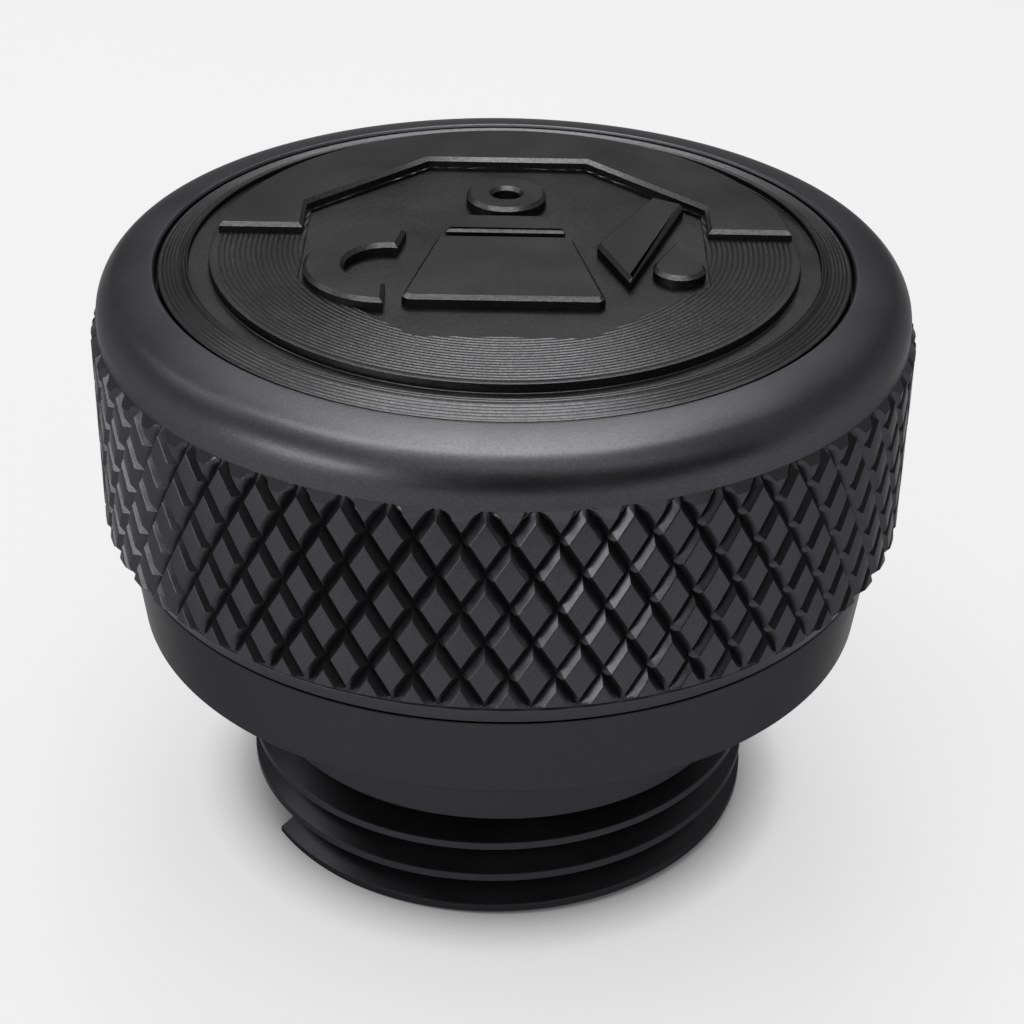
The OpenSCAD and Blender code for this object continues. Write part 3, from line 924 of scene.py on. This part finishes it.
def thread_ridge(s):
    """The thread's ridge: its section, extruded step by step along the helix."""
    inner, shoulder = s.root - THREAD_BURIED, s.crest - CREST_ROUND
    section = [
        (inner, -THREAD_WIDE), (shoulder, -CREST_ROUND_WIDE), (s.crest, -CREST_WIDE),
        (s.crest, CREST_WIDE), (shoulder, CREST_ROUND_WIDE), (inner, THREAD_WIDE),
    ]
    steps = round(s.turns * 120)
    last = s.start + math.tau * s.turns
    bm = bmesh.new()
    loop = [bm.verts.new((0.0, 0.0, 0.0)) for _ in section]
    edges = [bm.edges.new(pair) for pair in zip(loop, loop[1:] + loop[:1])]
    bmesh.ops.contextual_create(bm, geom=edges)
    for i in range(steps + 1):
        turn = s.start + (last - s.start) * i / steps
        rise = max(0.02, min(1.0, math.degrees(last - turn) / RUN_OUT))
        middle = THREAD_LOW + s.pitch * (turn + math.pi / 2) / math.tau
        for vert, (r, z) in zip(loop, section):
            reach = inner + (r - inner) * rise
            level = math.copysign(THREAD_WIDE - (THREAD_WIDE - abs(z)) * rise, z)
            vert.co = (reach * math.cos(turn), reach * math.sin(turn), middle + level)
        if i < steps:
            made = bmesh.ops.extrude_edge_only(bm, edges=edges)["geom"]
            edges = [item for item in made if isinstance(item, bmesh.types.BMEdge)]
            fresh = {item for item in made if isinstance(item, bmesh.types.BMVert)}
            beside = [[e.other_vert(v) for e in v.link_edges] for v in loop]
            loop = [next(v for v in near if v in fresh) for near in beside]
    bmesh.ops.contextual_create(bm, geom=edges)
    cut_level(bm, 0.02 * MM, keep="above")
    cut_level(bm, s.zone - 0.02 * MM, keep="below")
    bmesh.ops.holes_fill(bm, edges=[e for e in bm.edges if e.is_boundary], sides=0)
    return new_object("thread_ridge", bm)


class CAP_OT_body(bpy.types.Operator):
    """Build the turned body with its thread, neck, skirt, seal groove and hub"""

    bl_idname = "cap.body"
    bl_label = "Threaded body"

    def execute(self, context):
        s = context.scene.cap_body
        finish = turned_finish(context.scene.cap_finish.turned)
        low, high = s.skirt_low, s.skirt_high
        hub = context.scene.cap_disc.seat - context.scene.cap_ring.web
        bm = bmesh.new()
        lathe(bm, rounded([
            (0.0, HOLLOW_TOP, 0),
            (HOLLOW, HOLLOW_TOP, 0.8 * MM),
            (HOLLOW, 0.0, 0.4 * MM),
            (s.root, 0.0, 0.3 * MM),
            (s.root, s.zone, 0.1 * MM),
            (s.neck, s.zone, 0.15 * MM),
            (s.neck, low + SEAL_GROOVE_DEPTH, 0.2 * MM),
            (SEAL_GROOVE, low + SEAL_GROOVE_DEPTH, 0.2 * MM),
            (SEAL_GROOVE, low, 0.15 * MM),
            (SKIRT_FOOT, low, 0.2 * MM),
            (SKIRT_TOP, high, 0.2 * MM),
            (HUB, high, 0.1 * MM),
            (HUB, hub, 0.4 * MM),
            (PILOT, hub, 0.1 * MM),
            (PILOT, body_high, 0.4 * MM),
            (0.0, body_high, 0),
        ]), COLUMNS, closed=False)
        body = new_object("threaded_body", bm, finish)
        ridge = thread_ridge(s)
        ridge.data.materials.append(finish)
        combine(body, ridge, "UNION")
        under, over = hub - TAPPED_DEPTH, hub + MM
        holes = [(0.0, under), (TAPPED_HOLE, under), (TAPPED_HOLE, over), (0.0, over)]
        combine(body, screw_tools("tapped_holes", holes), "DIFFERENCE")
        dressed(body, "body")
        return {"FINISHED"}


class CAP_OT_seal(bpy.types.Operator):
    """Build the O-ring in its groove under the skirt"""

    bl_idname = "cap.seal"
    bl_label = "O-ring"

    def execute(self, context):
        middle = context.scene.cap_body.neck + SEAL_GAP + SEAL_THICK
        bm = bmesh.new()
        lathe(bm, arc((middle, (seal_low + seal_high) / 2), SEAL_THICK, 0, 350, 35), 192)
        ring = new_object("seal_ring_rubber", bm, rubber_finish(context.scene.cap_finish.rubber))
        dressed(ring, "seal_ring")
        return {"FINISHED"}


class CAP_OT_screws(bpy.types.Operator):
    """Finish the four clamp screws that stay as the frame has them"""

    bl_idname = "cap.screws"
    bl_label = "Clamp screws"

    def execute(self, context):
        finish = screw_finish(context.scene.cap_finish.screws)
        for name in ("clamp_screw_1", "clamp_screw_2", "clamp_screw_3", "clamp_screw_4"):
            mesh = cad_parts[name].data
            mesh.materials.clear()
            mesh.materials.append(finish)
        return {"FINISHED"}


def area_light(name, place, aim, size, radiance):
    """A soft rectangular light of a given brightness."""
    data = bpy.data.lights.new(name, "AREA")
    data.shape = "RECTANGLE"
    data.size, data.size_y = size
    data.energy = radiance * math.pi * size[0] * size[1]
    light = bpy.data.objects.new(name, data)
    light.location = place
    light.rotation_euler = (Vector(aim) - Vector(place)).to_track_quat("-Z", "Y").to_euler()
    bpy.context.scene.collection.objects.link(light)


def studio_world():
    """A pale horizon under a dark ceiling, and weak even light on all surfaces."""
    world = bpy.data.worlds.new("studio")
    world.use_nodes = True
    nodes, links = world.node_tree.nodes, world.node_tree.links
    path = nodes.new("ShaderNodeLightPath")
    seen = path.outputs["Is Camera Ray"]
    for kind in ("Is Transmission Ray", "Is Glossy Ray"):
        either = nodes.new("ShaderNodeMath")
        either.operation = "MAXIMUM"
        links.new(seen, either.inputs[0])
        links.new(path.outputs[kind], either.inputs[1])
        seen = either.outputs[0]
    way = nodes.new("ShaderNodeTexCoord")
    height = nodes.new("ShaderNodeSeparateXYZ")
    links.new(way.outputs["Generated"], height.inputs[0])
    ceiling = nodes.new("ShaderNodeMapRange")
    levels = {"From Min": 0.0, "From Max": 0.22, "To Min": HORIZON, "To Max": CEILING}
    for key, value in levels.items():
        ceiling.inputs[key].default_value = value
    links.new(height.outputs["Z"], ceiling.inputs["Value"])
    strength = nodes.new("ShaderNodeMapRange")
    strength.inputs["To Min"].default_value = EVEN_LIGHT
    links.new(seen, strength.inputs["Value"])
    links.new(ceiling.outputs["Result"], strength.inputs["To Max"])
    links.new(strength.outputs["Result"], nodes["Background"].inputs["Strength"])
    nodes["Background"].inputs["Color"].default_value = (1.0, 1.0, 1.0, 1.0)
    return world


def card_finish():
    """Plain black card."""
    f = Finish("black_card")
    return f.surface((0.01, 0.01, 0.01, 1.0), 0.9, None)


def dark_card():
    """A black card behind the camera, which only reflections show."""
    bm = bmesh.new()
    bmesh.ops.create_grid(bm, x_segments=1, y_segments=1, size=0.5)
    upright = Matrix.Rotation(math.pi / 2, 3, "X")
    bmesh.ops.rotate(bm, cent=ORIGIN, matrix=upright, verts=bm.verts[:])
    bmesh.ops.scale(bm, vec=CARD_SIZE, verts=bm.verts[:])
    bmesh.ops.translate(bm, vec=CARD_PLACE, verts=bm.verts[:])
    card = new_object("dark_card", bm, card_finish())
    card.visible_camera = False
    card.visible_diffuse = False
    card.visible_shadow = False


def photo_camera(s):
    """The camera of the photograph: in front of the cap, looking down, slightly turned."""
    ahead = Vector((0.0, math.cos(s.elevation), -math.sin(s.elevation)))
    right = Vector((1.0, 0.0, 0.0))
    up = Vector((0.0, math.sin(s.elevation), math.cos(s.elevation)))
    cosine, sine = math.cos(s.roll), math.sin(s.roll)
    across = right * cosine + up * sine
    upward = up * cosine - right * sine
    place = Vector(AIM) - ahead * s.distance
    data = bpy.data.cameras.new("camera")
    data.lens = s.lens
    data.sensor_width = 36.0
    data.clip_start = 0.01
    data.clip_end = 50.0
    camera = bpy.data.objects.new("camera", data)
    basis = Matrix((across, upward, -ahead)).transposed()
    camera.matrix_world = Matrix.Translation(place) @ basis.to_4x4()
    bpy.context.scene.collection.objects.link(camera)
    bpy.context.scene.camera = camera


class CAP_OT_stage(bpy.types.Operator):
    """Set up the floor, the soft light and the camera"""

    bl_idname = "cap.stage"
    bl_label = "Stage"

    def execute(self, context):
        s = context.scene.cap_stage
        scene = context.scene
        bm = bmesh.new()
        bmesh.ops.create_circle(bm, cap_ends=True, segments=96, radius=FLOOR_RADIUS)
        floor = new_object("floor", bm, floor_finish(s.floor))
        scene.world = studio_world()
        for lamp in LAMPS:
            area_light(*lamp)
        dark_card()
        photo_camera(s)
        scene.view_settings.view_transform = "Standard"
        return {"FINISHED"}


class CAP_PT_panel(bpy.types.Panel):
    """Lists the pieces of the cap in the sidebar"""

    bl_label = "Filler cap"
    bl_idname = "CAP_PT_panel"
    bl_space_type = "VIEW_3D"
    bl_region_type = "UI"
    bl_category = "Filler cap"

    def draw(self, context):
        for operator in OPERATORS:
            self.layout.operator(operator.bl_idname)
        for name in SETTINGS:
            group = getattr(context.scene, name)
            box = self.layout.box()
            for key in group.bl_rna.properties.keys():
                if key not in {"rna_type", "name"}:
                    box.prop(group, key)


SETTINGS = {
    "cap_ring": RingSettings,
    "cap_disc": DiscSettings,
    "cap_body": BodySettings,
    "cap_finish": FinishSettings,
    "cap_stage": StageSettings,
}
OPERATORS = (
    CAP_OT_grip_ring, CAP_OT_top_disc, CAP_OT_body, CAP_OT_seal, CAP_OT_screws, CAP_OT_stage,
)


def register():
    for name, group in SETTINGS.items():
        bpy.utils.register_class(group)
        setattr(bpy.types.Scene, name, PointerProperty(type=group))
    for operator in OPERATORS:
        bpy.utils.register_class(operator)
    bpy.utils.register_class(CAP_PT_panel)


def unregister():
    bpy.utils.unregister_class(CAP_PT_panel)
    for operator in reversed(OPERATORS):
        bpy.utils.unregister_class(operator)
    for name, group in SETTINGS.items():
        delattr(bpy.types.Scene, name)
        bpy.utils.unregister_class(group)


def main():
    register()
    bpy.ops.cap.grip_ring()
    bpy.ops.cap.top_disc()
    bpy.ops.cap.body()
    bpy.ops.cap.seal()
    bpy.ops.cap.screws()
    bpy.ops.cap.stage()


if __name__ == "__main__":
    main()
